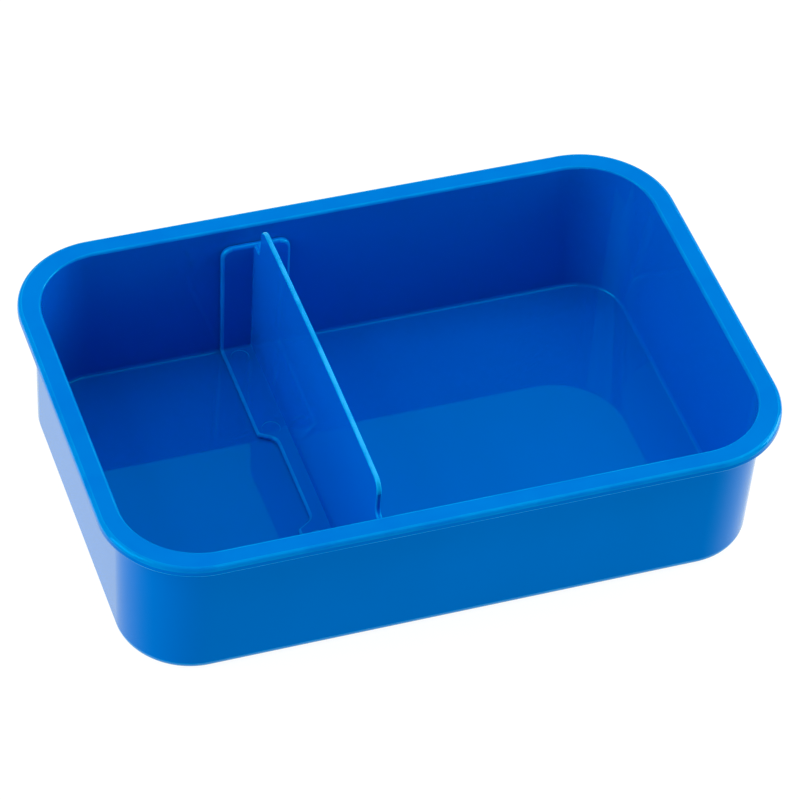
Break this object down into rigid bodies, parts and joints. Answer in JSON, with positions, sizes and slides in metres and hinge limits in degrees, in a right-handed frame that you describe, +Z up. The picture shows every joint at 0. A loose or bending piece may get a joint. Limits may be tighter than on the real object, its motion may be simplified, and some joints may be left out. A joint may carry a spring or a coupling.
{
  "type": "bento lunch box",
  "caption": "Open rectangular food tray with large rounded corners, tapered walls and a flat flanged rim, split into a small and a large compartment by a loose upright divider",
  "frame": {"origin": "middle of the tray's flat underside, at the bottom of the whole object's box", "axes": "+X along the long side, from the small compartment to the large one; +Y across the tray, along the divider; +Z up, out of the open top"},
  "size_m": [0.18, 0.1214, 0.0474],
  "materials": {
    "tray_plastic": "glossy blue polypropylene",
    "divider_plastic": "glossy blue polypropylene"
  },
  "bodies": {
    "tray": {"tray": "tray_plastic"},
    "divider": {"divider": "divider_plastic"}
  },
  "joints": [
    {"name": "divider_slide", "type": "slide", "parent": "tray", "child": "divider", "axis": [1, 0, 0], "range_m": [-0.0334, 0.0762]}
  ]
}
